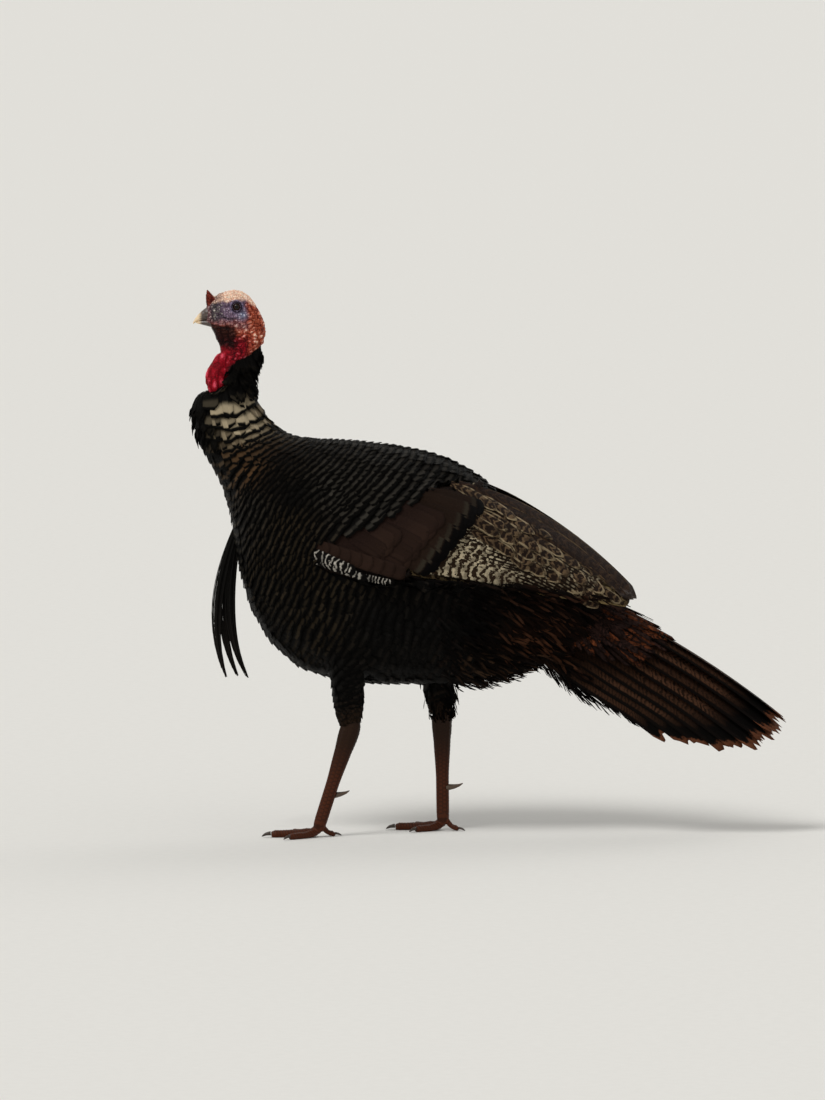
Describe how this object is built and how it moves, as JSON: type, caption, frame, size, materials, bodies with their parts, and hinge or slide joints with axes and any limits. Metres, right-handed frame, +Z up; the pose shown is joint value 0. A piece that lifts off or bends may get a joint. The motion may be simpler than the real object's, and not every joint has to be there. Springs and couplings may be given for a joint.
{
  "type": "wild turkey",
  "caption": "Adult male wild turkey as a still life-size figure, in mid step with its head up, wings and tail folded, and a long beard hanging from the breast.",
  "frame": {"origin": "on the floor, below the middle of the bird's length and width", "axes": "+Z up; the bird looks along -Y, so its tail points to +Y; +X is its left side"},
  "size_m": [0.278, 0.9238, 0.8465],
  "materials": {
    "body_plumage": "satin",
    "soft_plumage": "matte",
    "tail_covert_feathers": "satin",
    "tail_feathers": "matte",
    "wing_covert_feathers": "satin",
    "barred_flight_feathers": "matte",
    "face_skin": "satin",
    "neck_skin": "satin",
    "caruncle_skin": "satin",
    "snood_skin": "satin",
    "bill_horn": "satin",
    "eye_brown": "gloss",
    "beard_bristle": "satin",
    "leg_scales": "satin",
    "claw_horn": "satin"
  },
  "bodies": {
    "root": {"beard": "beard_bristle", "bill_lower": "bill_horn", "bill_upper": "bill_horn", "claw_hind_left": "claw_horn", "claw_hind_right": "claw_horn", "claw_inner_left": "claw_horn", "claw_inner_right": "claw_horn", "claw_middle_left": "claw_horn", "claw_middle_right": "claw_horn", "claw_outer_left": "claw_horn", "claw_outer_right": "claw_horn", "ear_left": "neck_skin", "ear_right": "neck_skin", "eye_left": "eye_brown", "eye_right": "eye_brown", "head": "face_skin", "neck_bare": "neck_skin", "neck_feathered": "body_plumage", "shank_left": "leg_scales", "shank_right": "leg_scales", "snood": "snood_skin", "spur_left": "claw_horn", "spur_right": "claw_horn", "tail_centre": "tail_feathers", "tail_coverts_under": "soft_plumage", "tail_coverts_upper_left": "tail_covert_feathers", "tail_coverts_upper_right": "tail_covert_feathers", "tail_left": "tail_feathers", "tail_right": "tail_feathers", "thigh_left": "body_plumage", "thigh_right": "body_plumage", "throat_caruncles": "caruncle_skin", "toe_hind_left": "leg_scales", "toe_hind_right": "leg_scales", "toe_inner_left": "leg_scales", "toe_inner_right": "leg_scales", "toe_middle_left": "leg_scales", "toe_middle_right": "leg_scales", "toe_outer_left": "leg_scales", "toe_outer_right": "leg_scales", "trunk": "body_plumage", "wing_left_coverts": "wing_covert_feathers", "wing_left_primaries": "barred_flight_feathers", "wing_left_secondaries": "barred_flight_feathers", "wing_right_coverts": "wing_covert_feathers", "wing_right_primaries": "barred_flight_feathers", "wing_right_secondaries": "barred_flight_feathers"}
  },
  "joints": []
}
